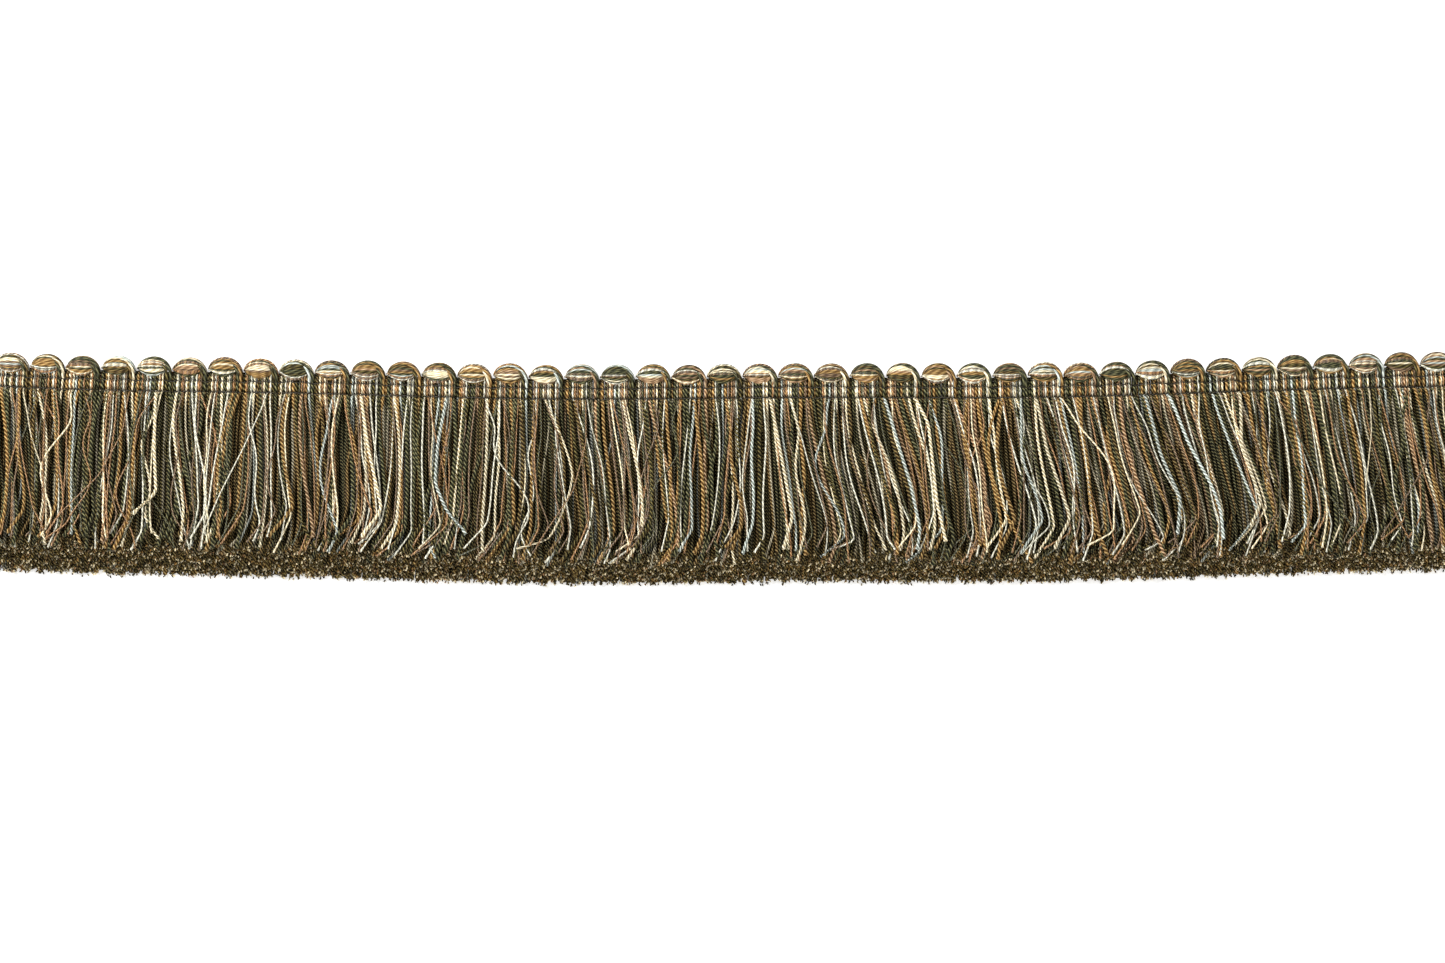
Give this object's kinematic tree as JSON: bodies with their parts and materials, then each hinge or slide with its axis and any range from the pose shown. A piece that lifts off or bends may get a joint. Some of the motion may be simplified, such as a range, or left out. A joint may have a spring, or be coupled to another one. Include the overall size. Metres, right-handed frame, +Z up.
{
  "type": "brush fringe trim",
  "caption": "Cut length of woven brush fringe trim: a row of rounded yarn loop heads, a narrow woven heading band and a thick cut brush of twisted yarns.",
  "frame": {"origin": "middle of the footprint, on the surface that the trim lies on", "axes": "+X along the trim, +Y from the cut brush towards the loop heads, +Z up out of the face of the trim"},
  "size_m": [0.3572, 0.0554, 0.0096],
  "materials": {
    "mixed_yarn": "plied cotton and viscose yarns, sage, tan, cream, pale blue, rose beige and brown"
  },
  "bodies": {
    "root": {"loop_head_01": "mixed_yarn", "loop_head_02": "mixed_yarn", "loop_head_03": "mixed_yarn", "loop_head_04": "mixed_yarn", "loop_head_05": "mixed_yarn", "loop_head_06": "mixed_yarn", "loop_head_07": "mixed_yarn", "loop_head_08": "mixed_yarn", "loop_head_09": "mixed_yarn", "loop_head_10": "mixed_yarn", "loop_head_11": "mixed_yarn", "loop_head_12": "mixed_yarn", "loop_head_13": "mixed_yarn", "loop_head_14": "mixed_yarn", "loop_head_15": "mixed_yarn", "loop_head_16": "mixed_yarn", "loop_head_17": "mixed_yarn", "loop_head_18": "mixed_yarn", "loop_head_19": "mixed_yarn", "loop_head_20": "mixed_yarn", "loop_head_21": "mixed_yarn", "loop_head_22": "mixed_yarn", "loop_head_23": "mixed_yarn", "loop_head_24": "mixed_yarn", "loop_head_25": "mixed_yarn", "loop_head_26": "mixed_yarn", "loop_head_27": "mixed_yarn", "loop_head_28": "mixed_yarn", "loop_head_29": "mixed_yarn", "loop_head_30": "mixed_yarn", "loop_head_31": "mixed_yarn", "loop_head_32": "mixed_yarn", "loop_head_33": "mixed_yarn", "loop_head_34": "mixed_yarn", "loop_head_35": "mixed_yarn", "loop_head_36": "mixed_yarn", "loop_head_37": "mixed_yarn", "loop_head_38": "mixed_yarn", "loop_head_39": "mixed_yarn", "loop_head_40": "mixed_yarn", "loop_head_41": "mixed_yarn", "loop_head_42": "mixed_yarn", "loop_head_43": "mixed_yarn", "heading_band": "mixed_yarn", "brush_skirt": "mixed_yarn"}
  },
  "joints": []
}
